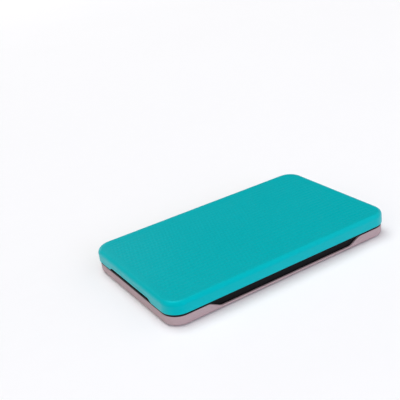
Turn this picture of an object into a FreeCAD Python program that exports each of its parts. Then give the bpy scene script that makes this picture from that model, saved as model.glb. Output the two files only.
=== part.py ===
import FreeCAD, Part
import Sketcher
import math
import os
import re

# Wet palette: a closed box of a grey shell, a black tray and a teal lid, with a sponge, a paper sheet
# and a mixing tray inside. X runs along the long side, Y along the short side, Z is up.
# The origin is on the table under the middle of the palette.

# Driving sizes in millimetres
SIZES = {
    # Outline of the lid, which the other outlines step in from
    "lid_length": 240.0,
    "lid_width": 144.0,
    "corner_radius": 16.0,
    "least_radius": 1.0,
    # Foot pads
    "foot_proud": 0.6,
    "foot_seat": 0.6,
    "foot_radius": 8.0,
    "foot_edge": 28.0,
    "foot_round": 0.3,
    # Grey shell
    "shell_inset": 0.8,
    "shell_wall": 1.8,
    "shell_floor": 1.4,
    "shell_height": 9.4,
    "shell_bottom_round": 3.2,
    "recess_length": 166.0,
    "recess_ramp": 11.4,
    "recess_lip": 3.4,
    "recess_round": 8.0,
    "shell_edge_round": 0.4,
    # Black tray
    "tray_play": 0.2,
    "tray_wall": 2.4,
    "tray_floor": 1.4,
    "tray_bottom_round": 3.0,
    "flange_inset": 0.9,
    "flange_thickness": 2.1,
    "tray_edge_round": 0.3,
    "upstand_height": 4.9,
    # Silicone ring in the top of the tray's upstand
    "seal_width": 1.2,
    "seal_height": 1.5,
    "seal_seat": 1.0,
    "seal_play": 0.1,
    "seal_round": 0.3,
    # Teal lid
    "lid_height": 11.7,
    "lid_plate": 2.2,
    "skirt_wall": 2.0,
    "lid_play": 0.6,
    "lid_top_round": 4.2,
    "lid_foot_round": 0.5,
    "rib_wall": 1.6,
    "pry_length": 77.0,
    "pry_ramp": 4.5,
    "pry_height": 2.7,
    "pry_round": 2.5,
    # Sponge and paper
    "soft_gap": 0.3,
    "sponge_play": 1.0,
    "sponge_thickness": 5.0,
    "sponge_round": 1.2,
    "paper_play": 1.8,
    "paper_thickness": 0.3,
    # Mixing tray
    "mixer_length": 150.0,
    "mixer_width": 48.0,
    "mixer_height": 7.0,
    "mixer_corner": 6.0,
    "mixer_edge_round": 0.8,
    "mixer_shift": 30.0,
    "well_count": 4,
    "well_pitch": 35.0,
    "well_length": 28.0,
    "well_width": 36.0,
    "well_slant": 9.0,
    "well_depth": 5.4,
    "well_draft": 14.0,
    "well_corner": 4.0,
    "well_floor_round": 2.0,
}

# Levels above the table, from the bottom of the stack to the top
LEVELS = {
    "shell_bottom": "foot_proud",
    "shell_top": "foot_proud + shell_height",
    "recess_bottom": "foot_proud + recess_lip",
    "tray_bottom": "foot_proud + shell_floor",
    "tray_bed": "tray_bottom + tray_floor",
    "flange_top": "shell_top + flange_thickness",
    "upstand_top": "flange_top + upstand_height",
    "seal_bottom": "upstand_top - seal_seat",
    "seal_top": "seal_bottom + seal_height",
    "sponge_bottom": "tray_bed + soft_gap",
    "paper_bottom": "sponge_bottom + sponge_thickness + soft_gap",
    "mixer_bottom": "paper_bottom + paper_thickness + soft_gap",
    "lid_top": "flange_top + lid_height",
    "lid_ceiling": "lid_top - lid_plate",
}

# Steps inward from the lid's outline to the other outlines
INSETS = {
    "shell_inner": "shell_inset + shell_wall",
    "tray_outer": "shell_inner + tray_play",
    "tray_inner": "tray_outer + tray_wall",
    "upstand_outer": "skirt_wall + lid_play",
    "seal_outer": "(upstand_outer + tray_inner - seal_width) / 2",
    "seal_inner": "seal_outer + seal_width",
    "rib_outer": "(upstand_outer + tray_inner - rib_wall) / 2",
    "rib_inner": "rib_outer + rib_wall",
    "sponge_side": "tray_inner + sponge_play",
    "paper_side": "tray_inner + paper_play",
}

SAME_PLACE = 0.001

doc = FreeCAD.newDocument("WetPalette")
sheet = doc.addObject("Spreadsheet::Sheet", "Sizes")
for row, (alias, number) in enumerate(SIZES.items(), start=1):
    sheet.set("A%d" % row, alias)
    sheet.set("B%d" % row, str(number))
    sheet.setAlias("B%d" % row, alias)
doc.recompute()


def formula(text):
    """Spell out levels and insets, and point every size at its cell in the sheet."""
    def spell(match):
        name = match.group(0)
        if name in LEVELS:
            return "(" + formula(LEVELS[name]) + ")"
        if name in INSETS:
            return "(" + formula(INSETS[name]) + ")"
        if name in SIZES:
            return "Sizes." + name
        return name
    return re.sub(r"[a-z][a-z_]*", spell, text)


def value(text):
    """The number that a formula has now."""
    return float(sheet.evalExpression(formula(text)))


def bind(thing, prop, text):
    thing.setExpression(prop, formula(text))


def new_body(label):
    body = doc.addObject("PartDesign::Body", label)
    body.Label = label
    return body


def new_sketch(body, name, level="0", plane="XY_Plane"):
    """A sketch on one of the body's own planes, raised to a level."""
    sketch = body.newObject("Sketcher::SketchObject", name)
    support = [item for item in body.Origin.OriginFeatures if item.Role == plane][0]
    sketch.AttachmentSupport = [(support, "")]
    sketch.MapMode = "FlatFace"
    bind(sketch, "AttachmentOffset.Base.z", level)
    return sketch


def dimension(sketch, kind, places, text):
    """A driving dimension of a sketch, bound to a formula."""
    index = sketch.addConstraint(Sketcher.Constraint(kind, *places, value(text)))
    bind(sketch, "Constraints[%d]" % index, text)


def add_rounded_rectangle(sketch, length, width, radius):
    """A rounded rectangle about the sketch's origin."""
    half_x = value(length) / 2
    half_y = value(width) / 2
    bend = value(radius)
    flat_x = half_x - bend
    flat_y = half_y - bend
    ends = [
        ((-flat_x, -half_y), (flat_x, -half_y)),
        ((half_x, -flat_y), (half_x, flat_y)),
        ((flat_x, half_y), (-flat_x, half_y)),
        ((-half_x, flat_y), (-half_x, -flat_y)),
    ]
    centres = [(flat_x, -flat_y), (flat_x, flat_y), (-flat_x, flat_y), (-flat_x, -flat_y)]
    quarter = math.pi / 2
    up = FreeCAD.Vector(0, 0, 1)
    lines = []
    arcs = []
    for side in range(4):
        start, end = ends[side]
        line = Part.LineSegment(FreeCAD.Vector(*start, 0), FreeCAD.Vector(*end, 0))
        circle = Part.Circle(FreeCAD.Vector(*centres[side], 0), up, bend)
        lines.append(sketch.addGeometry(line))
        arcs.append(sketch.addGeometry(Part.ArcOfCircle(circle, (side - 1) * quarter, side * quarter)))
    for side in range(4):
        after = lines[(side + 1) % 4]
        sketch.addConstraint(Sketcher.Constraint("Tangent", lines[side], 2, arcs[side], 1))
        sketch.addConstraint(Sketcher.Constraint("Tangent", arcs[side], 2, after, 1))
    sketch.addConstraint(Sketcher.Constraint("Horizontal", lines[0]))
    sketch.addConstraint(Sketcher.Constraint("Vertical", lines[1]))
    sketch.addConstraint(Sketcher.Constraint("Horizontal", lines[2]))
    sketch.addConstraint(Sketcher.Constraint("Vertical", lines[3]))
    for side in range(1, 4):
        sketch.addConstraint(Sketcher.Constraint("Equal", arcs[0], arcs[side]))
    sketch.addConstraint(Sketcher.Constraint("Symmetric", lines[0], 1, lines[2], 1, -1, 1))
    dimension(sketch, "DistanceX", (lines[3], 1, lines[1], 1), length)
    dimension(sketch, "DistanceY", (lines[0], 1, lines[2], 1), width)
    dimension(sketch, "Radius", (arcs[0],), radius)


def add_outline(sketch, inset):
    """The lid's outline, stepped in."""
    length = "lid_length - 2 * (%s)" % inset
    width = "lid_width - 2 * (%s)" % inset
    radius = "max(corner_radius - (%s); least_radius)" % inset
    add_rounded_rectangle(sketch, length, width, radius)


def add_four_lines(sketch, corners):
    """A closed four-sided loop through first-guess corners, which the caller then constrains."""
    points = [FreeCAD.Vector(x, y, 0) for x, y in corners]
    lines = []
    for side in range(4):
        lines.append(sketch.addGeometry(Part.LineSegment(points[side], points[(side + 1) % 4])))
    for side in range(4):
        sketch.addConstraint(Sketcher.Constraint("Coincident", lines[side], 2, lines[(side + 1) % 4], 1))
    return lines


def add_trapezoid(sketch, low_length, high_length, low, high):
    """A trapezoid about the sketch's upright axis, between two levels."""
    low_x = value(low_length) / 2
    high_x = value(high_length) / 2
    low_y = value(low)
    high_y = value(high)
    lines = add_four_lines(sketch, [(-low_x, low_y), (low_x, low_y), (high_x, high_y), (-high_x, high_y)])
    sketch.addConstraint(Sketcher.Constraint("Symmetric", lines[0], 1, lines[0], 2, -2))
    sketch.addConstraint(Sketcher.Constraint("Symmetric", lines[2], 2, lines[2], 1, -2))
    dimension(sketch, "DistanceX", (lines[0], 1, lines[0], 2), low_length)
    dimension(sketch, "DistanceX", (lines[2], 2, lines[2], 1), high_length)
    dimension(sketch, "DistanceY", (-1, 1, lines[0], 1), low)
    dimension(sketch, "DistanceY", (-1, 1, lines[2], 1), high)


def add_parallelogram(sketch, length, width, slant):
    """A slanted four-sided outline about the sketch's origin."""
    half_x = value(length) / 2
    half_y = value(width) / 2
    lean = value(slant) / 2
    corners = [
        (-half_x - lean, -half_y),
        (half_x - lean, -half_y),
        (half_x + lean, half_y),
        (-half_x + lean, half_y),
    ]
    lines = add_four_lines(sketch, corners)
    sketch.addConstraint(Sketcher.Constraint("Horizontal", lines[0]))
    sketch.addConstraint(Sketcher.Constraint("Symmetric", lines[0], 1, lines[2], 1, -1, 1))
    sketch.addConstraint(Sketcher.Constraint("Symmetric", lines[1], 1, lines[3], 1, -1, 1))
    dimension(sketch, "DistanceX", (lines[0], 1, lines[0], 2), length)
    dimension(sketch, "DistanceY", (lines[1], 1, lines[1], 2), width)
    dimension(sketch, "DistanceX", (lines[1], 1, lines[1], 2), slant)


def pad(body, sketch, height):
    feature = body.newObject("PartDesign::Pad", sketch.Name + "Pad")
    feature.Profile = sketch
    bind(feature, "Length", height)
    doc.recompute()
    return feature


def pocket(body, sketch, depth, upward=False):
    """Cut a sketch into the body, downward unless told otherwise."""
    before = body.Shape.Volume
    feature = body.newObject("PartDesign::Pocket", sketch.Name + "Pocket")
    feature.Profile = sketch
    feature.Reversed = upward
    bind(feature, "Length", depth)
    doc.recompute()
    if body.Shape.Volume >= before:
        raise RuntimeError(feature.Name + " cuts nothing")
    return feature


def cut_across(body, sketch):
    """Cut a sketch right through the body, both ways from its plane."""
    before = body.Shape.Volume
    feature = body.newObject("PartDesign::Pocket", sketch.Name + "Cut")
    feature.Profile = sketch
    feature.Type = "ThroughAll"
    feature.SideType = "Symmetric"
    doc.recompute()
    if body.Shape.Volume >= before:
        raise RuntimeError(feature.Name + " cuts nothing")
    return feature


def round_edges(body, name, radius, wanted):
    """Round every edge of the body that the test picks."""
    base = body.Tip
    picked = []
    for number, edge in enumerate(base.Shape.Edges, start=1):
        if wanted(edge):
            picked.append("Edge%d" % number)
    feature = body.newObject("PartDesign::Fillet", name)
    feature.Base = (base, picked)
    bind(feature, "Radius", radius)
    doc.recompute()
    return feature


def same(first, second):
    return abs(first - second) < SAME_PLACE


def at_level(level):
    """Picks edges that lie flat at one level."""
    height = value(level)
    return lambda edge: same(edge.BoundBox.ZMin, height) and same(edge.BoundBox.ZMax, height)


def outline_distance(inset):
    """Measures how far a point lies outside a stepped-in outline, seen from above."""
    bend = value("max(corner_radius - (%s); least_radius)" % inset)
    flat_x = value("lid_length / 2 - (%s)" % inset) - bend
    flat_y = value("lid_width / 2 - (%s)" % inset) - bend

    def distance(point):
        past_x = max(abs(point.x) - flat_x, 0)
        past_y = max(abs(point.y) - flat_y, 0)
        return (past_x ** 2 + past_y ** 2) ** 0.5 - bend
    return distance


def along_wall(low, high, insets):
    """Picks the edges between two levels that run along the upright walls of some outlines."""
    bottom = value(low)
    top = value(high)
    walls = [outline_distance(inset) for inset in insets]

    def wanted(edge):
        box = edge.BoundBox
        if box.ZMin < bottom - SAME_PLACE or box.ZMax > top + SAME_PLACE:
            return False
        middle = edge.valueAt((edge.FirstParameter + edge.LastParameter) / 2)
        ends = [vertex.Point for vertex in edge.Vertexes]
        return any(all(same(wall(point), 0) for point in [middle] + ends) for wall in walls)
    return wanted


def crosswise(axis, places):
    """Picks straight edges along X or Y that pass through any of some places, given as (across, level)."""
    spots = [(value(across), value(level)) for across, level in places]

    def wanted(edge):
        box = edge.BoundBox
        thin = box.YLength if axis == "X" else box.XLength
        across = abs(box.YMin) if axis == "X" else abs(box.XMin)
        if not same(thin, 0) or not same(box.ZLength, 0):
            return False
        return any(same(across, spot[0]) and same(box.ZMin, spot[1]) for spot in spots)
    return wanted


def build_foot_pads():
    """Four soft discs that the palette stands on."""
    body = new_body("foot_pads")
    body.AllowCompound = True
    sketch = new_sketch(body, "FootDiscs")
    add_foot_circles(sketch, "foot_radius")
    pad(body, sketch, "foot_proud + foot_seat")
    round_edges(body, "FootRound", "foot_round", at_level("0"))
    return body


def add_foot_circles(sketch, radius):
    """One circle near each corner of the palette."""
    across = "lid_length / 2 - foot_edge"
    along = "lid_width / 2 - foot_edge"
    circles = []
    for side_x, side_y in [(-1, -1), (1, -1), (1, 1), (-1, 1)]:
        centre = FreeCAD.Vector(side_x * value(across), side_y * value(along), 0)
        circles.append(sketch.addGeometry(Part.Circle(centre, FreeCAD.Vector(0, 0, 1), value(radius))))
    for circle in circles[1:]:
        sketch.addConstraint(Sketcher.Constraint("Equal", circles[0], circle))
    sketch.addConstraint(Sketcher.Constraint("Symmetric", circles[0], 3, circles[1], 3, -2))
    sketch.addConstraint(Sketcher.Constraint("Symmetric", circles[3], 3, circles[2], 3, -2))
    sketch.addConstraint(Sketcher.Constraint("Symmetric", circles[1], 3, circles[2], 3, -1))
    dimension(sketch, "DistanceX", (-1, 1, circles[2], 3), across)
    dimension(sketch, "DistanceY", (-1, 1, circles[2], 3), along)
    dimension(sketch, "Radius", (circles[0],), radius)


def build_base_shell():
    """Grey outer shell with a rounded bottom edge and a long finger recess in each long side."""
    body = new_body("base_shell")
    outline = new_sketch(body, "ShellOutline", "shell_bottom")
    add_outline(outline, "shell_inset")
    pad(body, outline, "shell_height")
    round_edges(body, "ShellBottomRound", "shell_bottom_round", at_level("shell_bottom"))

    hollow = new_sketch(body, "ShellHollow", "shell_top")
    add_outline(hollow, "shell_inner")
    pocket(body, hollow, "shell_height - shell_floor")

    recess = new_sketch(body, "FingerRecess", plane="XZ_Plane")
    recess_floor = "recess_length - 2 * recess_ramp"
    add_trapezoid(recess, recess_floor, "recess_length", "recess_bottom", "shell_top")
    cut_across(body, recess)
    ramp_ends = [("recess_length / 2", "shell_top"), ("(%s) / 2" % recess_floor, "recess_bottom")]
    round_edges(body, "RecessRound", "recess_round", crosswise("Y", ramp_ends))
    rim = along_wall("recess_bottom", "shell_top", ["shell_inset", "shell_inner"])
    round_edges(body, "ShellRimRound", "shell_edge_round", rim)

    seats = new_sketch(body, "FootSeats", "shell_bottom")
    add_foot_circles(seats, "foot_radius")
    pocket(body, seats, "foot_seat", upward=True)
    return body


def build_inner_tray():
    """Black tray: a tub, a flange that rests on the shell, and an upstand that the lid closes over."""
    body = new_body("inner_tray")
    tub = new_sketch(body, "Tub", "tray_bottom")
    add_outline(tub, "tray_outer")
    pad(body, tub, "flange_top - tray_bottom")
    round_edges(body, "TubRound", "tray_bottom_round", at_level("tray_bottom"))

    flange = new_sketch(body, "Flange", "shell_top")
    add_outline(flange, "flange_inset")
    pad(body, flange, "flange_thickness")

    upstand = new_sketch(body, "Upstand", "flange_top")
    add_outline(upstand, "upstand_outer")
    pad(body, upstand, "upstand_height")

    bed = new_sketch(body, "Bed", "upstand_top")
    add_outline(bed, "tray_inner")
    pocket(body, bed, "upstand_top - tray_bed")
    bed_round = "max(tray_bottom_round - tray_wall; tray_edge_round)"
    round_edges(body, "BedRound", bed_round, at_level("tray_bed"))

    groove = new_sketch(body, "SealGroove", "upstand_top")
    add_outline(groove, "seal_outer - seal_play")
    add_outline(groove, "seal_inner + seal_play")
    pocket(body, groove, "seal_seat")

    flange_edges = along_wall("shell_top", "flange_top", ["flange_inset"])
    round_edges(body, "FlangeRound", "tray_edge_round", flange_edges)
    return body


def build_seal_ring():
    """Silicone ring that stands proud of its groove."""
    body = new_body("seal_ring")
    ring = new_sketch(body, "SealRing", "seal_bottom")
    add_outline(ring, "seal_outer")
    add_outline(ring, "seal_inner")
    pad(body, ring, "seal_height")
    round_edges(body, "SealRound", "seal_round", at_level("seal_top"))
    return body


def build_hydration_sponge():
    """Foam pad that holds the water."""
    body = new_body("hydration_sponge")
    outline = new_sketch(body, "Sponge", "sponge_bottom")
    add_outline(outline, "sponge_side")
    pad(body, outline, "sponge_thickness")
    round_edges(body, "SpongeRound", "sponge_round", at_level("sponge_bottom + sponge_thickness"))
    return body


def build_palette_paper():
    """Membrane sheet on the sponge."""
    body = new_body("palette_paper")
    outline = new_sketch(body, "Paper", "paper_bottom")
    add_outline(outline, "paper_side")
    pad(body, outline, "paper_thickness")
    return body


def build_mixing_tray():
    """Low strip with a row of slanted wells."""
    body = new_body("mixing_tray")
    outline = new_sketch(body, "MixerOutline")
    add_rounded_rectangle(outline, "mixer_length", "mixer_width", "mixer_corner")
    pad(body, outline, "mixer_height")

    well = new_sketch(body, "Well", "mixer_height")
    bind(well, "AttachmentOffset.Base.x", "-(well_count - 1) * well_pitch / 2")
    add_parallelogram(well, "well_length", "well_width", "well_slant")
    first_well = pocket(body, well, "well_depth")
    bind(first_well, "TaperAngle", "-well_draft")

    row = body.newObject("PartDesign::LinearPattern", "WellRow")
    row.Originals = [first_well]
    row.Direction = (outline, ["H_Axis"])
    bind(row, "Length", "(well_count - 1) * well_pitch")
    bind(row, "Occurrences", "well_count")
    body.Tip = row
    doc.recompute()

    floor = value("mixer_height - well_depth")
    top = value("mixer_height")

    def slopes(edge):
        return same(edge.BoundBox.ZMin, floor) and same(edge.BoundBox.ZMax, top)
    round_edges(body, "WellCorners", "well_corner", slopes)
    round_edges(body, "WellFloors", "well_floor_round", at_level("mixer_height - well_depth"))
    round_edges(body, "MixerEdges", "mixer_edge_round", at_level("mixer_height"))
    bind(body, "Placement.Base.y", "mixer_shift")
    bind(body, "Placement.Base.z", "mixer_bottom")
    return body


def build_lid_shell():
    """Teal lid with a soft top edge, a rib over the seal and a pry notch low on each short side."""
    body = new_body("lid_shell")
    outline = new_sketch(body, "LidOutline", "flange_top")
    add_outline(outline, "0")
    pad(body, outline, "lid_height")
    round_edges(body, "LidTopRound", "lid_top_round", at_level("lid_top"))

    hollow = new_sketch(body, "LidHollow", "flange_top")
    add_outline(hollow, "skirt_wall")
    pocket(body, hollow, "lid_height - lid_plate", upward=True)
    ceiling_round = "max(lid_top_round - skirt_wall; least_radius)"
    round_edges(body, "LidCeilingRound", ceiling_round, at_level("lid_ceiling"))

    rib = new_sketch(body, "SealRib", "seal_top")
    add_outline(rib, "rib_outer")
    add_outline(rib, "rib_inner")
    pad(body, rib, "lid_ceiling - seal_top")

    notch = new_sketch(body, "PryNotch", plane="YZ_Plane")
    notch_top = "pry_length - 2 * pry_ramp"
    add_trapezoid(notch, "pry_length", notch_top, "flange_top", "flange_top + pry_height")
    cut_across(body, notch)
    ramp_ends = [("pry_length / 2", "flange_top"), ("(%s) / 2" % notch_top, "flange_top + pry_height")]
    round_edges(body, "PryRound", "pry_round", crosswise("X", ramp_ends))
    foot = along_wall("flange_top", "flange_top + pry_height", ["0"])
    round_edges(body, "LidFootRound", "lid_foot_round", foot)
    return body


BUILDERS = [
    build_foot_pads,
    build_base_shell,
    build_inner_tray,
    build_seal_ring,
    build_hydration_sponge,
    build_palette_paper,
    build_mixing_tray,
    build_lid_shell,
]

bodies = [build() for build in BUILDERS]
doc.recompute()

for item in doc.Objects:
    if "Invalid" in item.State or "Error" in item.State:
        raise RuntimeError(item.Name + " failed to build")
for body in bodies:
    if body.Shape.isNull() or not body.Shape.isValid():
        raise RuntimeError(body.Label + " has no valid shape")

os.makedirs("parts", exist_ok=True)
for body in bodies:
    body.Shape.exportStep("parts/%s.step" % body.Label)
    box = body.Shape.BoundBox
    extents = "%.2f x %.2f x %.2f" % (box.XLength, box.YLength, box.ZLength)
    print(body.Label, len(body.Shape.Solids), "solids", extents, "from z %.2f" % box.ZMin)
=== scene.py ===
import math

import bmesh
import bpy
from mathutils import Matrix, Vector, noise


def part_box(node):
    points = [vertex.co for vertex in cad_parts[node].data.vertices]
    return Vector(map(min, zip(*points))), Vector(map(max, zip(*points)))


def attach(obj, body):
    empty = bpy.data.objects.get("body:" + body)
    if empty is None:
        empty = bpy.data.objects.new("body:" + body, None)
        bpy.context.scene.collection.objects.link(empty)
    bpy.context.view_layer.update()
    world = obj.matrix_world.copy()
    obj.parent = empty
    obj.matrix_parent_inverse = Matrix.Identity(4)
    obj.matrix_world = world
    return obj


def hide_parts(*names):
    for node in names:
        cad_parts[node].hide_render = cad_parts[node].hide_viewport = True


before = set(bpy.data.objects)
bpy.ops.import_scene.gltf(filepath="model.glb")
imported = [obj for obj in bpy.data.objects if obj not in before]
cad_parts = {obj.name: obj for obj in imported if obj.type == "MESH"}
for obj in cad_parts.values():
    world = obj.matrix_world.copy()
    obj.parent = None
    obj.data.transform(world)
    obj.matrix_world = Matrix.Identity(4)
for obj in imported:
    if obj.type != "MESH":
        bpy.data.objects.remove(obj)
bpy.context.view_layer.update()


# Base shell
# The warm grey outer shell that stands on the table. It is moulded in a fine-grained, slightly
# soft plastic, and the black tray is pressed into it.
MM = 0.001
WHOLE = (0.0, 1.0)
SHELL_GREY = (0.47, 0.343, 0.358, 1.0)
# The deeper grey is the shell's cloudy tone and also the painted shade in the grain's low places.
SHELL_GREY_DEEP_AND_SHADED = (0.40, 0.292, 0.304, 1.0)
SHELL_GREY_RUBBED = (0.49, 0.40, 0.42, 1.0)
SHELL_ROUGHNESS = (0.58, 0.72)
SHELL_GRAIN = 0.9 * MM
SHELL_GRAIN_DEPTH = 0.05 * MM
SHELL_CLOUD = 28 * MM
SHELL_RUB = 0.9 * MM
SHELL_RUB_SCATTER = 5 * MM
GRAIN_FUZZ_PER_CELL = 2.3
GRAIN_FUZZ_SHARE = 0.45
GRAIN_SPAN = (0.25, 0.95)
GRAIN_LOW_SPAN = (0.45, 0.0)
TONE_FLECKS_PER_CLOUD = 22.0
TONE_FLECK_SHARE = 0.35
TONE_SPAN = (0.3, 0.7)
RUB_LEAN_SPAN = (0.995, 0.85)
RUB_SCATTER_SPAN = (0.35, 0.65)
RUB_SCATTER_RANGE = (0.35, 1.0)


def feed(tree, node, values):
    """Sets a node's inputs by name or number. A socket is linked, and anything else is its value."""
    for name, value in values.items():
        if isinstance(value, bpy.types.NodeSocket):
            tree.links.new(value, node.inputs[name])
        else:
            node.inputs[name].default_value = value
    return node


def add_node(tree, kind, values=(), **settings):
    node = tree.nodes.new(kind)
    for name, value in settings.items():
        setattr(node, name, value)
    return feed(tree, node, dict(values))


def math_node(tree, operation, *values, clamp=False):
    """One Math node's result, from numbers and sockets."""
    node = add_node(tree, "ShaderNodeMath", operation=operation, use_clamp=clamp)
    return feed(tree, node, dict(enumerate(values))).outputs[0]


def times(tree, first, second):
    return math_node(tree, "MULTIPLY", first, second)


def between(tree, value, span, to=WHOLE):
    """A smooth step of a value over a span, as a number that goes over the range in to."""
    return add_node(tree, "ShaderNodeMapRange", {
        "Value": value, "From Min": span[0], "From Max": span[1], "To Min": to[0], "To Max": to[1],
    }, interpolation_type="SMOOTHSTEP").outputs["Result"]


def mix_colours(tree, mask, first, second, share=1.0):
    """A colour from the first, where the mask is 0, to a share of the second, where it is 1."""
    node = add_node(tree, "ShaderNodeMix", data_type="RGBA")
    sockets = {socket.identifier: number for number, socket in enumerate(node.inputs)}
    feed(tree, node, {
        sockets["Factor_Float"]: times(tree, mask, share) if share < 1.0 else mask,
        sockets["A_Color"]: first,
        sockets["B_Color"]: second,
    })
    return next(socket for socket in node.outputs if socket.identifier == "Result_Color")


def object_place(tree):
    return add_node(tree, "ShaderNodeTexCoord").outputs["Object"]


def soft_noise(tree, place, per_metre, detail, **more):
    """Noise of about 0.5 at a place, with so many waves to the metre."""
    values = {"Vector": place, "Scale": per_metre, "Detail": detail, **more}
    return add_node(tree, "ShaderNodeTexNoise", values).outputs["Fac"]


def new_group(name, inputs, outputs):
    """An empty shader node group of numbers, with what it is given and its last node."""
    tree = bpy.data.node_groups.new(name, "ShaderNodeTree")
    for in_out, labels in (("INPUT", inputs), ("OUTPUT", outputs)):
        for label in labels:
            tree.interface.new_socket(label, in_out=in_out, socket_type="NodeSocketFloat")
    return tree, tree.nodes.new("NodeGroupInput").outputs, tree.nodes.new("NodeGroupOutput")


def make_moulded_grain():
    """The fine pebbled skin that an etched mould leaves: its height, and its low places as a mask."""
    tree, given, result = new_group("moulded_grain", ["Cell Size"], ["Height", "Low Places"])
    place = object_place(tree)
    per_metre = math_node(tree, "DIVIDE", 1.0, given["Cell Size"])
    cells = add_node(tree, "ShaderNodeTexVoronoi", {
        "Vector": place, "Scale": per_metre, "Smoothness": 0.6, "Randomness": 0.9,
    }, feature="SMOOTH_F1").outputs["Distance"]
    fuzz = soft_noise(tree, place, times(tree, per_metre, GRAIN_FUZZ_PER_CELL), detail=2.0)
    rough = math_node(tree, "MULTIPLY_ADD", fuzz, GRAIN_FUZZ_SHARE, cells)
    height = between(tree, rough, GRAIN_SPAN, to=(1.0, 0.0))
    feed(tree, result, {"Height": height, "Low Places": between(tree, height, GRAIN_LOW_SPAN)})
    return tree


def make_uneven_tone():
    """Broad soft clouds with fine flecks in them, about 0.5, as an even plastic has under the eye."""
    tree, given, result = new_group("uneven_tone", ["Cloud Size"], ["Tone"])
    place = object_place(tree)
    per_metre = math_node(tree, "DIVIDE", 1.0, given["Cloud Size"])
    clouds = soft_noise(tree, place, per_metre, detail=3.0, Roughness=0.55, Distortion=0.6)
    flecks = soft_noise(tree, place, times(tree, per_metre, TONE_FLECKS_PER_CLOUD), detail=2.0)
    tone = math_node(tree, "MULTIPLY_ADD", flecks, TONE_FLECK_SHARE,
                     times(tree, clouds, 1 - TONE_FLECK_SHARE))
    feed(tree, result, {"Tone": between(tree, tone, TONE_SPAN)})
    return tree


def make_edge_rub():
    """Where a convex edge has been rubbed: 1 along the edge and 0 on the open faces."""
    tree, given, result = new_group("edge_rub", ["Width", "Scatter Size"], ["Mask"])
    softened = add_node(tree, "ShaderNodeBevel", {"Radius": given["Width"]}, samples=6)
    facing = add_node(tree, "ShaderNodeNewGeometry").outputs["Normal"]
    lean = add_node(tree, "ShaderNodeVectorMath", {
        0: softened.outputs["Normal"], 1: facing,
    }, operation="DOT_PRODUCT").outputs["Value"]
    per_metre = math_node(tree, "DIVIDE", 1.0, given["Scatter Size"])
    scatter = soft_noise(tree, object_place(tree), per_metre, detail=3.0)
    edge = between(tree, lean, RUB_LEAN_SPAN)
    mask = times(tree, edge, between(tree, scatter, RUB_SCATTER_SPAN, to=RUB_SCATTER_RANGE))
    feed(tree, result, {"Mask": mask})
    return tree


moulded_grain = make_moulded_grain()
uneven_tone = make_uneven_tone()
edge_rub = make_edge_rub()


def new_material(name):
    """A material with its tree and its shader."""
    material = bpy.data.materials.new(name)
    material.use_nodes = True
    tree = material.node_tree
    return material, tree, tree.nodes["Principled BSDF"]


def place_group(tree, group, values):
    return feed(tree, add_node(tree, "ShaderNodeGroup", node_tree=group), values).outputs


def bump(tree, height, depth):
    """A normal from a height of 0 to 1 that stands depth metres high."""
    return add_node(tree, "ShaderNodeBump", {"Height": height, "Distance": depth}).outputs["Normal"]


def make_shell_grey():
    material, tree, shader = new_material("shell_grey")
    grain = place_group(tree, moulded_grain, {"Cell Size": SHELL_GRAIN})
    tone = place_group(tree, uneven_tone, {"Cloud Size": SHELL_CLOUD})["Tone"]
    rub = place_group(tree, edge_rub, {"Width": SHELL_RUB, "Scatter Size": SHELL_RUB_SCATTER})["Mask"]
    clouded = mix_colours(tree, tone, SHELL_GREY, SHELL_GREY_DEEP_AND_SHADED, share=0.35)
    # Painted shade: the low places of the grain are darkened towards the deeper grey.
    pitted = mix_colours(tree, grain["Low Places"], clouded, SHELL_GREY_DEEP_AND_SHADED, share=0.3)
    feed(tree, shader, {
        "Base Color": mix_colours(tree, rub, pitted, SHELL_GREY_RUBBED, share=0.35),
        "Roughness": between(tree, tone, WHOLE, to=SHELL_ROUGHNESS),
        "Normal": bump(tree, grain["Height"], SHELL_GRAIN_DEPTH),
        "Specular IOR Level": 0.25,
    })
    return material


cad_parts["base_shell"].data.materials[0] = make_shell_grey()


# Foot pads
# Four soft rubber discs that sit in shallow pockets under the shell's corners, so that the palette
# doesn't slide. Each is a turned moulding with raised grip rings on the face it stands on.
PAD_RUBBER = (0.028, 0.028, 0.031, 1.0)
PAD_RUBBER_DUSTY = (0.075, 0.073, 0.072, 1.0)
PAD_DUST = 0.4
PAD_ROUGHNESS = (0.68, 0.9)
PAD_GRAIN = 0.35 * MM
PAD_GRAIN_DEPTH = 0.03 * MM
PAD_CLOUD = 5 * MM
PAD_RUB = 0.3 * MM
PAD_RUB_SCATTER = 1.5 * MM
PAD_RADIUS = 8 * MM
PAD_EDGE = 0.3 * MM
PAD_RINGS = 4
PAD_RING_DEPTH = 0.2 * MM
PAD_FACE_STEPS = 48
PAD_EDGE_STEPS = 5
PAD_SEGMENTS = 80


def make_foot_rubber():
    material, tree, shader = new_material("foot_rubber")
    grain = place_group(tree, moulded_grain, {"Cell Size": PAD_GRAIN})
    tone = place_group(tree, uneven_tone, {"Cloud Size": PAD_CLOUD})["Tone"]
    rub = place_group(tree, edge_rub, {"Width": PAD_RUB, "Scatter Size": PAD_RUB_SCATTER})["Mask"]
    dust = math_node(tree, "MAXIMUM", times(tree, tone, PAD_DUST), rub)
    feed(tree, shader, {
        "Base Color": mix_colours(tree, dust, PAD_RUBBER, PAD_RUBBER_DUSTY),
        "Roughness": between(tree, dust, WHOLE, to=PAD_ROUGHNESS),
        "Normal": bump(tree, grain["Height"], PAD_GRAIN_DEPTH),
        "Specular IOR Level": 0.3,
    })
    return material


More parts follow.
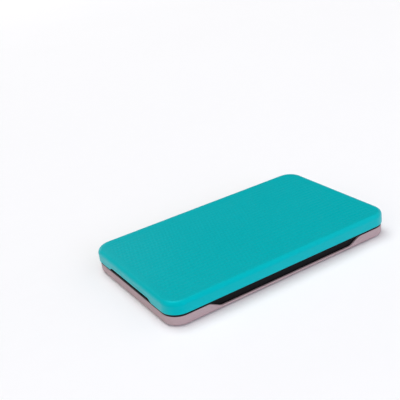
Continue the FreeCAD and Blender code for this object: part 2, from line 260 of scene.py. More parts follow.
def pad_profile(height):
    """Radius and height from the middle of the ringed face, round the edge, to the middle of the back."""
    flat = PAD_RADIUS - PAD_EDGE
    profile = []
    for step in range(PAD_FACE_STEPS + 1):
        turn = 2 * math.pi * PAD_RINGS * step / PAD_FACE_STEPS
        profile.append((flat * step / PAD_FACE_STEPS, PAD_RING_DEPTH * (1 - math.cos(turn)) / 2))
    for step in range(1, PAD_EDGE_STEPS + 1):
        turn = math.pi / 2 * step / PAD_EDGE_STEPS
        profile.append((flat + PAD_EDGE * math.sin(turn), PAD_EDGE * (1 - math.cos(turn))))
    return profile + [(PAD_RADIUS, height), (0.0, height)]


def close_shape(shape, name):
    """The mesh of a shape that is done with."""
    mesh = bpy.data.meshes.new(name)
    shape.to_mesh(mesh)
    shape.free()
    return mesh


def turn_on_lathe(name, profile, segments):
    """A turned mesh from a profile of radius and height that starts on the axis."""
    shape = bmesh.new()
    rings = []
    for radius, height in profile:
        turns = [2 * math.pi * spot / segments for spot in range(segments if radius > 0 else 1)]
        rings.append([shape.verts.new((radius * math.cos(turn), radius * math.sin(turn), height))
                      for turn in turns])
    for inner, outer in zip(rings, rings[1:]):
        for spot in range(segments):
            after = (spot + 1) % segments
            corners = [inner[spot % len(inner)], inner[after % len(inner)],
                       outer[after % len(outer)], outer[spot % len(outer)]]
            shape.faces.new(list(dict.fromkeys(corners)))
    bmesh.ops.recalc_face_normals(shape, faces=shape.faces)
    mesh = close_shape(shape, name)
    mesh.shade_smooth()
    return mesh


def new_shape_tree(name, inputs):
    """An empty Geometry Nodes tree with its named inputs, what it is given and its last node."""
    tree = bpy.data.node_groups.new(name, "GeometryNodeTree")
    for label, kind in inputs.items():
        tree.interface.new_socket(label, in_out="INPUT", socket_type="NodeSocket" + kind)
    tree.interface.new_socket("Geometry", in_out="OUTPUT", socket_type="NodeSocketGeometry")
    return tree, tree.nodes.new("NodeGroupInput").outputs, tree.nodes.new("NodeGroupOutput")


def end_shape_tree(tree, result, shape, material):
    real = add_node(tree, "GeometryNodeRealizeInstances", {"Geometry": shape}).outputs["Geometry"]
    covered = add_node(tree, "GeometryNodeSetMaterial", {"Geometry": real, "Material": material})
    feed(tree, result, {"Geometry": covered.outputs["Geometry"]})


def put_in_scene(name, data):
    thing = bpy.data.objects.new(name, data)
    bpy.context.scene.collection.objects.link(thing)
    return thing


def finished_mesh(piece):
    """A plain mesh of what an object's modifiers make."""
    return bpy.data.meshes.new_from_object(piece.evaluated_get(bpy.context.evaluated_depsgraph_get()))


def grow(name, mesh, tree, values):
    """An object at the origin with the plain mesh that a shape tree makes from a mesh."""
    piece = put_in_scene(name, mesh)
    shaping = piece.modifiers.new(tree.name, "NODES")
    shaping.node_group = tree
    for socket in tree.interface.items_tree:
        if socket.in_out == "INPUT" and socket.name in values:
            shaping[socket.identifier] = values[socket.name]
    grown = finished_mesh(piece)
    piece.modifiers.remove(shaping)
    piece.data = grown
    return piece


def make_corner_copies():
    """A copy of one pad at each corner of a rectangle."""
    tree, given, result = new_shape_tree("corner_copies", {
        "Geometry": "Geometry", "Length": "Float", "Width": "Float", "Material": "Material",
    })
    corners = add_node(tree, "GeometryNodeMeshGrid", {
        "Size X": given["Length"], "Size Y": given["Width"], "Vertices X": 2, "Vertices Y": 2,
    }).outputs["Mesh"]
    copies = add_node(tree, "GeometryNodeInstanceOnPoints", {
        "Points": corners, "Instance": given["Geometry"],
    }).outputs["Instances"]
    end_shape_tree(tree, result, copies, given["Material"])
    return tree


pads_low, pads_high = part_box("foot_pads")
pad = turn_on_lathe("foot_pads", pad_profile(pads_high.z - pads_low.z), PAD_SEGMENTS)
foot_rubber = make_foot_rubber()
pad.materials.append(foot_rubber)
foot_pads = grow("foot_pads_rubber", pad, make_corner_copies(), {
    "Length": pads_high.x - pads_low.x - 2 * PAD_RADIUS,
    "Width": pads_high.y - pads_low.y - 2 * PAD_RADIUS,
    "Material": foot_rubber,
})
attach(foot_pads, "base")
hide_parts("foot_pads")


# Inner tray
# The black moulded tray that holds the water. Its flange lies on the shell's rim and shows as a
# thin line all round, and its wall shows in the finger recesses.
TRAY_BLACK = (0.0024, 0.0024, 0.0034, 1.0)
TRAY_BLACK_WORN = (0.009, 0.009, 0.011, 1.0)
TRAY_ROUGHNESS = (0.42, 0.58)
TRAY_GRAIN = 0.7 * MM
TRAY_GRAIN_DEPTH = 0.03 * MM
TRAY_CLOUD = 22 * MM
TRAY_RUB = 0.6 * MM
TRAY_RUB_SCATTER = 4 * MM


def make_tray_black():
    material, tree, shader = new_material("tray_black")
    grain = place_group(tree, moulded_grain, {"Cell Size": TRAY_GRAIN})
    tone = place_group(tree, uneven_tone, {"Cloud Size": TRAY_CLOUD})["Tone"]
    rub = place_group(tree, edge_rub, {"Width": TRAY_RUB, "Scatter Size": TRAY_RUB_SCATTER})["Mask"]
    clouded = mix_colours(tree, tone, TRAY_BLACK, TRAY_BLACK_WORN, share=0.3)
    feed(tree, shader, {
        "Base Color": mix_colours(tree, rub, clouded, TRAY_BLACK_WORN, share=0.5),
        "Roughness": between(tree, tone, WHOLE, to=TRAY_ROUGHNESS),
        "Normal": bump(tree, grain["Height"], TRAY_GRAIN_DEPTH),
        "Specular IOR Level": 0.1,
    })
    return material


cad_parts["inner_tray"].data.materials[0] = make_tray_black()


# Seal ring
# The silicone gasket pressed into the groove on top of the tray's upstand. The lid's rib closes on
# its two lips, which keeps the paint from drying out.
SEAL_GREY = (0.085, 0.092, 0.10, 1.0)
SEAL_GREY_PALE = (0.17, 0.18, 0.19, 1.0)
SEAL_ROUGHNESS = (0.38, 0.6)
SEAL_GRAIN = 0.3 * MM
SEAL_GRAIN_DEPTH = 0.012 * MM
SEAL_CLOUD = 9 * MM
SEAL_SOLID_WIDTH = 1.2 * MM
SEAL_WIDTH = 1.16 * MM
SEAL_CORNER = 12.1 * MM
SEAL_CORNER_STEPS = 24
SEAL_EDGE = 0.34 * MM
SEAL_EDGE_STEPS = 5
SEAL_BEAD_POINTS = 44
SEAL_VALLEY = 0.2 * MM
SEAL_VALLEY_SPAN = (0.3, 0.05)
SEAL_TOP_SHARE = 0.4


def make_seal_silicone():
    material, tree, shader = new_material("seal_silicone")
    tone = place_group(tree, uneven_tone, {"Cloud Size": SEAL_CLOUD})["Tone"]
    grain = place_group(tree, moulded_grain, {"Cell Size": SEAL_GRAIN})
    feed(tree, shader, {
        "Base Color": mix_colours(tree, tone, SEAL_GREY, SEAL_GREY_PALE, share=0.7),
        "Roughness": between(tree, tone, WHOLE, to=SEAL_ROUGHNESS),
        "Normal": bump(tree, grain["Height"], SEAL_GRAIN_DEPTH),
        "Specular IOR Level": 0.4,
    })
    return material


def make_gasket_run():
    """A bead with two lips along a rectangle with round corners."""
    tree, given, result = new_shape_tree("gasket_run", {
        "Length": "Float", "Width": "Float", "Corner": "Float", "Bead Width": "Float",
        "Bead Height": "Float", "Edge": "Float", "Valley": "Float", "Material": "Material",
    })

    def round_rectangle(length, width, radius, steps):
        sides = add_node(tree, "GeometryNodeCurvePrimitiveQuadrilateral", {
            "Width": given[length], "Height": given[width],
        }).outputs["Curve"]
        return add_node(tree, "GeometryNodeFilletCurve", {
            "Curve": sides, "Radius": given[radius], "Count": steps, "Limit Radius": True,
        }, mode="POLY").outputs["Curve"]

    route = round_rectangle("Length", "Width", "Corner", SEAL_CORNER_STEPS)
    upright = add_node(tree, "GeometryNodeSetCurveNormal", {"Curve": route}, mode="Z_UP").outputs["Curve"]
    bead = add_node(tree, "GeometryNodeResampleCurve", {
        "Curve": round_rectangle("Bead Width", "Bead Height", "Edge", SEAL_EDGE_STEPS),
        "Count": SEAL_BEAD_POINTS,
    }).outputs["Curve"]
    place = add_node(tree, "GeometryNodeInputPosition").outputs["Position"]
    spot = add_node(tree, "ShaderNodeSeparateXYZ", {"Vector": place}).outputs
    across = math_node(tree, "DIVIDE", math_node(tree, "ABSOLUTE", spot["X"]), given["Bead Width"])
    high = math_node(tree, "GREATER_THAN", spot["Y"], times(tree, given["Bead Height"], SEAL_TOP_SHARE))
    drop = times(tree, between(tree, across, SEAL_VALLEY_SPAN), high)
    sunk = times(tree, drop, times(tree, given["Valley"], -1.0))
    lipped = add_node(tree, "GeometryNodeSetPosition", {
        "Geometry": bead, "Offset": add_node(tree, "ShaderNodeCombineXYZ", {"Y": sunk}).outputs["Vector"],
    }).outputs["Geometry"]
    swept = add_node(tree, "GeometryNodeCurveToMesh", {
        "Curve": upright, "Profile Curve": lipped,
    }).outputs["Mesh"]
    end_shape_tree(tree, result, swept, given["Material"])
    return tree


seal_low, seal_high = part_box("seal_ring")
seal_ring = grow("seal_ring_silicone", bpy.data.meshes.new("seal_ring"), make_gasket_run(), {
    "Length": seal_high.x - seal_low.x - SEAL_SOLID_WIDTH,
    "Width": seal_high.y - seal_low.y - SEAL_SOLID_WIDTH,
    "Corner": SEAL_CORNER,
    "Bead Width": SEAL_WIDTH,
    "Bead Height": seal_high.z - seal_low.z,
    "Edge": SEAL_EDGE,
    "Valley": SEAL_VALLEY,
    "Material": make_seal_silicone(),
})
seal_ring.data.transform(Matrix.Translation((0.0, 0.0, (seal_low.z + seal_high.z) / 2)))
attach(seal_ring, "base")
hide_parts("seal_ring")


# Hydration sponge
# A cream open-cell foam pad, die-cut to the tray's bed, which holds the water under the paper. Its
# faces are pitted with pores, and the cut edges are a little softened.
SPONGE_CREAM = (0.80, 0.72, 0.49, 1.0)
# The shaded cream is painted shade for the foam's cell hollows and pores.
SPONGE_CREAM_SHADED = (0.52, 0.43, 0.24, 1.0)
SPONGE_CREAM_DAMP = (0.68, 0.58, 0.36, 1.0)
SPONGE_ROUGHNESS = (0.95, 0.75)
SPONGE_CLOUD = 30 * MM
SPONGE_MESH_CELL = 0.85 * MM
SPONGE_FINE_CELL = 0.55 * MM
SPONGE_WALL_SPAN = (0.2, 0.75)
SPONGE_WALL_DEPTH = 0.18 * MM
SPONGE_WALL_SHADE = 0.3
SPONGE_PORE_SHADE = 0.7
SPONGE_PORE = 2.6 * MM
SPONGE_PORE_DEPTH = 0.7 * MM
SPONGE_SWELL = 0.5 * MM
SPONGE_SWELLS_PER_METRE = 35.0
PORE_PIT_SPAN = (0.42, 0.12)
PORE_PATCHES_PER_PIT = 0.6
PORE_PATCH_SPAN = (0.42, 0.62)
PORE_SPECKS_PER_PIT = 1.9
PORE_SPECK_SPAN = (0.42, 0.1)
PORE_SPECK_DEPTH = 0.45
WELD = 0.001 * MM


def make_sponge_foam():
    material, tree, shader = new_material("sponge_foam")
    pores = add_node(tree, "ShaderNodeAttribute", attribute_name="pore").outputs["Fac"]
    cells = add_node(tree, "ShaderNodeTexVoronoi", {
        "Vector": object_place(tree), "Scale": 1 / SPONGE_FINE_CELL,
    }).outputs["Distance"]
    walls = between(tree, cells, SPONGE_WALL_SPAN)
    tone = place_group(tree, uneven_tone, {"Cloud Size": SPONGE_CLOUD})["Tone"]
    damp = mix_colours(tree, tone, SPONGE_CREAM, SPONGE_CREAM_DAMP, share=0.7)
    # Painted shade: the hollows of the fine cells and the pressed pores are darkened towards the shaded
    # cream.
    shade = math_node(tree, "MULTIPLY_ADD", math_node(tree, "SUBTRACT", 1.0, walls), SPONGE_WALL_SHADE,
                      times(tree, pores, SPONGE_PORE_SHADE), clamp=True)
    feed(tree, shader, {
        "Base Color": mix_colours(tree, shade, damp, SPONGE_CREAM_SHADED),
        "Roughness": between(tree, tone, WHOLE, to=SPONGE_ROUGHNESS),
        "Normal": bump(tree, walls, SPONGE_WALL_DEPTH),
        "Specular IOR Level": 0.15,
    })
    return material


def make_foam_pores():
    """Presses pores of two sizes into a foam pad and gives its faces a slow swell."""
    tree, given, result = new_shape_tree("foam_pores", {
        "Geometry": "Geometry", "Pore Size": "Float", "Pore Depth": "Float", "Swell": "Float",
        "Material": "Material",
    })
    place = add_node(tree, "GeometryNodeInputPosition").outputs["Position"]
    normal = add_node(tree, "GeometryNodeInputNormal").outputs["Normal"]
    per_metre = math_node(tree, "DIVIDE", 1.0, given["Pore Size"])

    def cells(scale):
        return add_node(tree, "ShaderNodeTexVoronoi", {"Vector": place, "Scale": scale}).outputs["Distance"]

    patches = soft_noise(tree, place, times(tree, per_metre, PORE_PATCHES_PER_PIT), detail=1.0)
    pits = times(tree, between(tree, cells(per_metre), PORE_PIT_SPAN),
                 between(tree, patches, PORE_PATCH_SPAN))
    small = cells(times(tree, per_metre, PORE_SPECKS_PER_PIT))
    specks = times(tree, between(tree, small, PORE_SPECK_SPAN), PORE_SPECK_DEPTH)
    pore = math_node(tree, "MAXIMUM", pits, specks)
    marked = add_node(tree, "GeometryNodeStoreNamedAttribute", {
        "Geometry": given["Geometry"], "Name": "pore", "Value": pore,
    }, data_type="FLOAT", domain="POINT").outputs["Geometry"]
    waves = soft_noise(tree, place, SPONGE_SWELLS_PER_METRE, detail=1.0)
    swell = times(tree, math_node(tree, "SUBTRACT", waves, 0.5), given["Swell"])
    lift = math_node(tree, "SUBTRACT", swell, times(tree, pore, given["Pore Depth"]))
    offset = add_node(tree, "ShaderNodeVectorMath", {0: normal, "Scale": lift}, operation="SCALE")
    pitted = add_node(tree, "GeometryNodeSetPosition", {
        "Geometry": marked, "Offset": offset.outputs[0],
    }).outputs["Geometry"]
    smooth = add_node(tree, "GeometryNodeSetShadeSmooth", {"Geometry": pitted}).outputs["Geometry"]
    end_shape_tree(tree, result, smooth, given["Material"])
    return tree


def merged_copy(node):
    """A copy of a solid's shape, with its loose triangles joined."""
    shape = bmesh.new()
    shape.from_mesh(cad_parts[node].data)
    bmesh.ops.remove_doubles(shape, verts=shape.verts, dist=WELD)
    return shape


def fine_copy(node, cell):
    """A copy of a solid's mesh, cut into even cells."""
    holder = put_in_scene(node + "_cells", close_shape(merged_copy(node), node + "_cells"))
    cutting = holder.modifiers.new("cells", "REMESH")
    cutting.mode = "VOXEL"
    cutting.voxel_size = cell
    cut = finished_mesh(holder)
    bpy.data.objects.remove(holder)
    return cut


sponge_cells = fine_copy("hydration_sponge", SPONGE_MESH_CELL)
sponge = grow("hydration_sponge_foam", sponge_cells, make_foam_pores(), {
    "Pore Size": SPONGE_PORE,
    "Pore Depth": SPONGE_PORE_DEPTH,
    "Swell": SPONGE_SWELL,
    "Material": make_sponge_foam(),
})
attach(sponge, "sponge")
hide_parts("hydration_sponge")


# Palette paper
# The thin membrane sheet that lies on the damp sponge, where paint is mixed. It is a smooth parchment
# with fine fibres, cut with round corners, and it cockles a little as it takes up water.
PAPER_WHITE = (0.80, 0.79, 0.74, 1.0)
PAPER_WHITE_DAMP = (0.74, 0.725, 0.665, 1.0)
PAPER_ROUGHNESS = (0.62, 0.5)
PAPER_CLOUD = 24 * MM
PAPER_DAMP_SPAN = (0.2, 0.9)
FIBRE_WHITE = (0.92, 0.91, 0.88, 1.0)
FIBRE_TURNS = (0.5, 1.7, 2.8)
FIBRE_SIZE = (4 * MM, 0.25 * MM, MM)
FIBRE_SPAN = (0.56, 0.72)
FIBRE_DEPTH = 0.012 * MM
PAPER_CORNER = 9.0 * MM
PAPER_THICKNESS = 0.12 * MM
PAPER_STEP = 1.6 * MM
COCKLE_HEIGHT = 0.17 * MM
COCKLE_SIZE = (34 * MM, 26 * MM)
COCKLE_SLICE = 3.7
COCKLE_FALL = 1.0
COCKLE_FINER = 2.0
COCKLE_LAYERS = 2


def make_membrane_paper():
    material, tree, shader = new_material("membrane_paper")
    place = object_place(tree)
    fibres = None
    for turn in FIBRE_TURNS:
        lay = add_node(tree, "ShaderNodeMapping", {
            "Vector": place, "Rotation": (0.0, 0.0, turn), "Scale": [1 / size for size in FIBRE_SIZE],
        }).outputs["Vector"]
        thread = between(tree, soft_noise(tree, lay, 1.0, detail=2.0, Distortion=0.8), FIBRE_SPAN)
        fibres = thread if fibres is None else math_node(tree, "MAXIMUM", fibres, thread)
    tone = place_group(tree, uneven_tone, {"Cloud Size": PAPER_CLOUD})["Tone"]
    damp = between(tree, tone, PAPER_DAMP_SPAN)
    soaked = mix_colours(tree, damp, PAPER_WHITE, PAPER_WHITE_DAMP)
    feed(tree, shader, {
        "Base Color": mix_colours(tree, fibres, soaked, FIBRE_WHITE, share=0.35),
        "Roughness": between(tree, damp, WHOLE, to=PAPER_ROUGHNESS),
        "Normal": bump(tree, fibres, FIBRE_DEPTH),
        "Specular IOR Level": 0.4,
    })
    return material


def paper_spot(across, along, half_length, half_width):
    """A point of the flat sheet, with the squares at its corners drawn in to quarter circles."""
    straight_x = half_length - PAPER_CORNER
    straight_y = half_width - PAPER_CORNER
    over_x = max(abs(across) - straight_x, 0.0) / PAPER_CORNER
    over_y = max(abs(along) - straight_y, 0.0) / PAPER_CORNER
    x = min(abs(across), straight_x) + PAPER_CORNER * over_x * math.sqrt(1 - over_y ** 2 / 2)
    y = min(abs(along), straight_y) + PAPER_CORNER * over_y * math.sqrt(1 - over_x ** 2 / 2)
    return math.copysign(x, across), math.copysign(y, along)


def make_paper_sheet(low, high):
    """A thin cockled sheet that fills a box from side to side, closed all round."""
    half_length = (high.x - low.x) / 2
    half_width = (high.y - low.y) / 2
    columns = round(2 * half_length / PAPER_STEP)
    rows = round(2 * half_width / PAPER_STEP)
    middle = (low.z + high.z) / 2
    spots = [paper_spot(half_length * (2 * column / columns - 1), half_width * (2 * row / rows - 1),
                        half_length, half_width)
             for row in range(rows + 1) for column in range(columns + 1)]
    points = []
    for side in (PAPER_THICKNESS / 2, -PAPER_THICKNESS / 2):
        for x, y in spots:
            wave_place = Vector((x / COCKLE_SIZE[0], y / COCKLE_SIZE[1], COCKLE_SLICE))
            cockle = noise.fractal(wave_place, COCKLE_FALL, COCKLE_FINER, COCKLE_LAYERS)
            points.append((x, y, middle + COCKLE_HEIGHT * max(-1.0, min(1.0, cockle)) + side))
    wide = columns + 1
    back = len(spots)
    faces = []
    for row in range(rows):
        for column in range(columns):
            first = row * wide + column
            corners = (first, first + 1, first + 1 + wide, first + wide)
            faces.append(corners)
            faces.append(tuple(back + corner for corner in reversed(corners)))
    rim = (list(range(columns))
           + [row * wide + columns for row in range(rows)]
           + [rows * wide + column for column in range(columns, 0, -1)]
           + [row * wide for row in range(rows, 0, -1)])
    for here, after in zip(rim, rim[1:] + rim[:1]):
        faces.append((here, back + here, back + after, after))
    mesh = bpy.data.meshes.new("palette_paper_sheet")
    mesh.from_pydata(points, [], faces)
    mesh.shade_smooth()
    return mesh


paper_low, paper_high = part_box("palette_paper")
paper_mesh = make_paper_sheet(paper_low, paper_high)
paper_mesh.materials.append(make_membrane_paper())
paper = put_in_scene("palette_paper_sheet", paper_mesh)
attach(paper, "paper")
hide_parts("palette_paper")


# Mixing tray
# The white strip with four slanted wells for thinned paint. It is a thin smooth moulding that lies
# loose on the paper at the back of the tray.
MIXER_WHITE = (0.83, 0.835, 0.82, 1.0)
MIXER_WHITE_DULL = (0.80, 0.80, 0.78, 1.0)
MIXER_ROUGHNESS = (0.25, 0.4)
MIXER_RIPPLE = 11 * MM
MIXER_RIPPLE_DEPTH = 0.05 * MM
MIXER_HANDLED_SPAN = (0.2, 0.9)


def make_mixer_white():
    material, tree, shader = new_material("mixer_white")
    ripples = soft_noise(tree, object_place(tree), 1 / MIXER_RIPPLE, detail=1.0)
    handled = between(tree, ripples, MIXER_HANDLED_SPAN)
    feed(tree, shader, {
        "Base Color": mix_colours(tree, handled, MIXER_WHITE, MIXER_WHITE_DULL),
        "Roughness": between(tree, handled, WHOLE, to=MIXER_ROUGHNESS),
        "Normal": bump(tree, ripples, MIXER_RIPPLE_DEPTH),
        "Specular IOR Level": 0.5,
    })
    return material


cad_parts["mixing_tray"].data.materials[0] = make_mixer_white()


# Lid
# The teal lid that drops over the tray's upstand and closes on the seal. It is one moulding, with
# staggered rows of shallow dimples on a finely etched top, a soft top edge and smoother sides.
LID_TEAL = (0.0, 0.436, 0.469, 1.0)
# The deeper teal is the lid's cloudy tone and also the painted shade in the grain's low places on top.
LID_TEAL_DEEP_AND_SHADED = (0.0, 0.388, 0.42, 1.0)
LID_TEAL_PALE = (0.015, 0.475, 0.51, 1.0)
LID_GLOSS_TINT = (0.0, 0.9, 1.0, 1.0)
LID_SIDE_ROUGHNESS = (0.34, 0.42)
LID_TOP_ROUGHER = 0.04
LID_TOP_SPAN = (0.85, 0.97)
LID_GRAIN = 1.3 * MM
LID_GRAIN_DEPTH = 0.04 * MM
LID_GRAIN_SHADE = 0.9
LID_CLOUD = 45 * MM
LID_RUB = 0.8 * MM
LID_RUB_SCATTER = 6 * MM
LID_CREASE = math.radians(30)
DIMPLE_PITCH = 3.64 * MM
DIMPLE_ROW = 5.0 * MM
DIMPLE_DEPTH = 0.2 * MM
DIMPLE_MARGIN = 8.0 * MM
DIMPLE_FADE = 3.0 * MM
DIMPLE_STEPS = 6
DIMPLE_MEAN = 0.5
DIMPLE_ALONG_SHARE = 0.3
DIMPLE_ACROSS_SHARE = 0.2


def make_lid_teal():
    material, tree, shader = new_material("lid_teal")
    grain = place_group(tree, moulded_grain, {"Cell Size": LID_GRAIN})
    tone = place_group(tree, uneven_tone, {"Cloud Size": LID_CLOUD})["Tone"]
    rub = place_group(tree, edge_rub, {"Width": LID_RUB, "Scatter Size": LID_RUB_SCATTER})["Mask"]
    facing = add_node(tree, "ShaderNodeNewGeometry").outputs["Normal"]
    upward = add_node(tree, "ShaderNodeSeparateXYZ", {"Vector": facing}).outputs["Z"]
    top = between(tree, upward, LID_TOP_SPAN)
    clouded = mix_colours(tree, tone, LID_TEAL, LID_TEAL_DEEP_AND_SHADED, share=0.3)
    # Painted shade: on the top, the low places of the grain are darkened towards the deeper teal.
    hollow = times(tree, grain["Low Places"], times(tree, top, LID_GRAIN_SHADE))
    grain_shaded = mix_colours(tree, hollow, clouded, LID_TEAL_DEEP_AND_SHADED)
    side_roughness = between(tree, tone, WHOLE, to=LID_SIDE_ROUGHNESS)
    feed(tree, shader, {
        "Base Color": mix_colours(tree, rub, grain_shaded, LID_TEAL_PALE, share=0.4),
        "Roughness": math_node(tree, "MULTIPLY_ADD", top, LID_TOP_ROUGHER, side_roughness),
        "Normal": bump(tree, times(tree, grain["Height"], top), LID_GRAIN_DEPTH),
        "Specular IOR Level": 0.5,
        "Specular Tint": LID_GLOSS_TINT,
    })
    return material


def fine_topped(node, length, width, columns, rows):
    """A copy of a solid's mesh, with its level top cut into even cells inside a plain margin."""
    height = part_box(node)[1].z
    shape = merged_copy(node)
    level = [face for face in shape.faces if min(corner.co.z for corner in face.verts) > height - WELD]
    bmesh.ops.delete(shape, geom=level, context="FACES")
    cells = Matrix.Translation((0.0, 0.0, height)) @ Matrix.Diagonal((length / 2, width / 2, 1.0, 1.0))
    bmesh.ops.create_grid(shape, x_segments=columns, y_segments=rows, size=1.0, matrix=cells)
    margin = [edge for edge in shape.edges if edge.is_boundary]
    bmesh.ops.triangle_fill(shape, edges=margin, normal=(0.0, 0.0, 1.0), use_beauty=True)
    bmesh.ops.recalc_face_normals(shape, faces=shape.faces)
    mesh = close_shape(shape, node + "_fine_top")
    mesh.attributes.remove(mesh.attributes["custom_normal"])
    mesh.shade_smooth()
    mesh.set_sharp_from_angle(angle=LID_CREASE)
    return mesh


def make_pressed_dimples():
    """Presses staggered rows of shallow dimples into a level top. They fade out towards its margin."""
    tree, given, result = new_shape_tree("pressed_dimples", {
        "Geometry": "Geometry", "Top": "Float", "Length": "Float", "Width": "Float", "Pitch": "Float",
        "Row": "Float", "Depth": "Float", "Fade": "Float", "Material": "Material",
    })
    place = add_node(tree, "GeometryNodeInputPosition").outputs["Position"]
    spot = add_node(tree, "ShaderNodeSeparateXYZ", {"Vector": place}).outputs

    def wave(axis, turn, size):
        return math_node(tree, "COSINE", math_node(
            tree, "DIVIDE", times(tree, spot[axis], turn), given[size]))

    along = times(tree, wave("X", 2 * math.pi, "Pitch"), wave("Y", math.pi, "Row"))
    across = math_node(tree, "MULTIPLY_ADD", wave("Y", 2 * math.pi, "Row"),
                       -DIMPLE_ACROSS_SHARE, DIMPLE_MEAN)
    hollow = math_node(tree, "MULTIPLY_ADD", along, -DIMPLE_ALONG_SHARE, across)
    for axis, size in (("X", "Length"), ("Y", "Width")):
        half = math_node(tree, "DIVIDE", given[size], 2.0)
        room = math_node(tree, "SUBTRACT", half, math_node(tree, "ABSOLUTE", spot[axis]))
        hollow = times(tree, hollow, between(tree, math_node(tree, "DIVIDE", room, given["Fade"]), WHOLE))
    drop = times(tree, hollow, times(tree, given["Depth"], -1.0))
    on_top = math_node(tree, "GREATER_THAN", spot["Z"], math_node(tree, "SUBTRACT", given["Top"], WELD))
    pressed = add_node(tree, "GeometryNodeSetPosition", {
        "Geometry": given["Geometry"], "Selection": on_top,
        "Offset": add_node(tree, "ShaderNodeCombineXYZ", {"Z": drop}).outputs["Vector"],
    }).outputs["Geometry"]
    end_shape_tree(tree, result, pressed, given["Material"])
    return tree


lid_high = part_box("lid_shell")[1]
dimple_length = 2 * (lid_high.x - DIMPLE_MARGIN)
dimple_width = 2 * (lid_high.y - DIMPLE_MARGIN)
lid_blank = fine_topped("lid_shell", dimple_length, dimple_width,
                        columns=round(dimple_length / DIMPLE_PITCH * DIMPLE_STEPS),
                        rows=round(dimple_width / DIMPLE_ROW * DIMPLE_STEPS))
lid = grow("lid_shell_moulding", lid_blank, make_pressed_dimples(), {
    "Top": lid_high.z,
    "Length": dimple_length,
    "Width": dimple_width,
    "Pitch": DIMPLE_PITCH,
    "Row": DIMPLE_ROW,
    "Depth": DIMPLE_DEPTH,
    "Fade": DIMPLE_FADE,
    "Material": make_lid_teal(),
})
lid.modifiers.new("even_normals", "WEIGHTED_NORMAL").keep_sharp = True
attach(lid, "lid")
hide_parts("lid_shell")


# Studio
# A wide pale floor with a raised far rim, under an even dome of light with a dim back wall. A soft
# sun is overhead, lamps stand low in front and behind, and the camera is where the picture was taken.
FLOOR_LEVEL_RADIUS = 2.5
FLOOR_RIM_RADIUS = 12.0
FLOOR_RIM_HEIGHT = 0.84
FLOOR_STEPS = 16
FLOOR_SEGMENTS = 96
FLOOR_PALE = (0.95, 0.945, 0.955, 1.0)
FLOOR_PALE_DEEP = (0.94, 0.935, 0.945, 1.0)
FLOOR_CLOUD = 0.4
DOME_WHITE = (1.0, 1.0, 1.0, 1.0)
DOME_LIGHT = 0.80
BACK_WALL = (0.2, 0.85, 0.48)
BACK_WALL_SPAN = (0.15, 0.8)
BACK_WALL_LIGHT = 0.03
OVERHEAD_FROM = (-0.15, 0.55, 2.1)
OVERHEAD_LIGHT = 1.67
OVERHEAD_SPREAD = math.radians(44)
FRONT_FROM = (0.25, -3.5, 1.125)
FRONT_SIZE = (2.5, 1.75)
FRONT_POWER = 17.5
FRONT_COLOUR = (0.82, 0.90, 1.40)
STRIP_FROM = (0.25, 3.75, 0.55)
STRIP_SIZE = (2.0, 0.65)
STRIP_POWER = 12.5
VIEW_TURN = math.radians(-29.687)
VIEW_HEIGHT = math.radians(24.12)
VIEW_ROLL = math.radians(-7.473)
VIEW_DISTANCE = 693.57 * MM
PICTURE_PIXELS = 400
FOCAL_PIXELS = 730.60
MIDDLE_PIXEL = (242.19, 249.72)
SENSOR_WIDTH = 36.0


def make_floor_pale():
    material, tree, shader = new_material("floor_pale")
    tone = place_group(tree, uneven_tone, {"Cloud Size": FLOOR_CLOUD})["Tone"]
    feed(tree, shader, {
        "Base Color": mix_colours(tree, tone, FLOOR_PALE, FLOOR_PALE_DEEP),
        "Roughness": 0.9,
        "Specular IOR Level": 0.0,
    })
    return material


def floor_profile():
    """Radius and height from the middle of the level floor out to its rim."""
    profile = [(0.0, 0.0)]
    for step in range(FLOOR_STEPS + 1):
        share = step / FLOOR_STEPS
        radius = FLOOR_LEVEL_RADIUS + (FLOOR_RIM_RADIUS - FLOOR_LEVEL_RADIUS) * share
        profile.append((radius, FLOOR_RIM_HEIGHT * share ** 2))
    return profile


floor_mesh = turn_on_lathe("floor", floor_profile(), FLOOR_SEGMENTS)
floor_mesh.materials.append(make_floor_pale())
floor = put_in_scene("floor", floor_mesh)

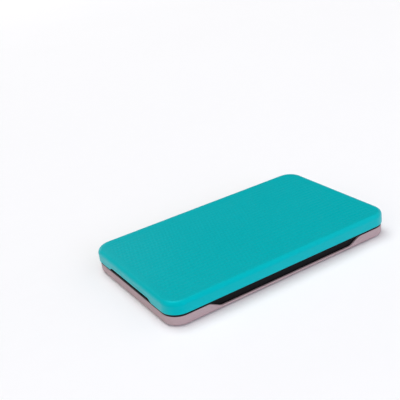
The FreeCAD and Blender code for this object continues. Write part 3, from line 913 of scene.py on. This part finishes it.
world = bpy.data.worlds.new("studio")
world.use_nodes = True
sky = world.node_tree
towards = add_node(sky, "ShaderNodeTexCoord").outputs["Generated"]
facing_back = add_node(sky, "ShaderNodeVectorMath", {
    0: towards, 1: Vector(BACK_WALL).normalized(),
}, operation="DOT_PRODUCT").outputs["Value"]
feed(sky, sky.nodes["Background"], {
    "Color": DOME_WHITE,
    "Strength": between(sky, facing_back, BACK_WALL_SPAN, to=(DOME_LIGHT, BACK_WALL_LIGHT)),
})
bpy.context.scene.world = world


def hang_lamp(name, kind, place, power):
    """A lamp at a place, turned towards the palette."""
    light = bpy.data.lights.new(name, kind)
    light.energy = power
    lamp = put_in_scene(name, light)
    lamp.location = place
    lamp.rotation_euler = (-Vector(place)).to_track_quat("-Z", "Y").to_euler()
    return light


overhead = hang_lamp("overhead", "SUN", OVERHEAD_FROM, OVERHEAD_LIGHT)
overhead.angle = OVERHEAD_SPREAD
front_softbox = hang_lamp("front_softbox", "AREA", FRONT_FROM, FRONT_POWER)
front_softbox.color = FRONT_COLOUR
back_strip = hang_lamp("back_strip", "AREA", STRIP_FROM, STRIP_POWER)
for softbox, size in ((front_softbox, FRONT_SIZE), (back_strip, STRIP_SIZE)):
    softbox.shape = "ELLIPSE"
    softbox.size, softbox.size_y = size

back = Vector((
    math.sin(VIEW_TURN) * math.cos(VIEW_HEIGHT),
    -math.cos(VIEW_TURN) * math.cos(VIEW_HEIGHT),
    math.sin(VIEW_HEIGHT),
))
level_right = Vector((math.cos(VIEW_TURN), math.sin(VIEW_TURN), 0.0))
roll = Matrix.Rotation(VIEW_ROLL, 3, back)
right = roll @ level_right
up = roll @ back.cross(level_right)
metres_per_pixel = VIEW_DISTANCE / FOCAL_PIXELS
shell_foot = Vector((0.0, 0.0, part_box("base_shell")[0].z))
aim = (shell_foot
       - right * (MIDDLE_PIXEL[0] - PICTURE_PIXELS / 2) * metres_per_pixel
       + up * (MIDDLE_PIXEL[1] - PICTURE_PIXELS / 2) * metres_per_pixel)

camera_data = bpy.data.cameras.new("camera")
camera_data.sensor_width = SENSOR_WIDTH
camera_data.lens = FOCAL_PIXELS / PICTURE_PIXELS * SENSOR_WIDTH
camera = put_in_scene("camera", camera_data)
camera_turn = Matrix((right, up, back)).transposed().to_4x4()
camera.matrix_world = Matrix.Translation(aim + back * VIEW_DISTANCE) @ camera_turn
bpy.context.scene.camera = camera
bpy.context.scene.view_settings.view_transform = "Standard"
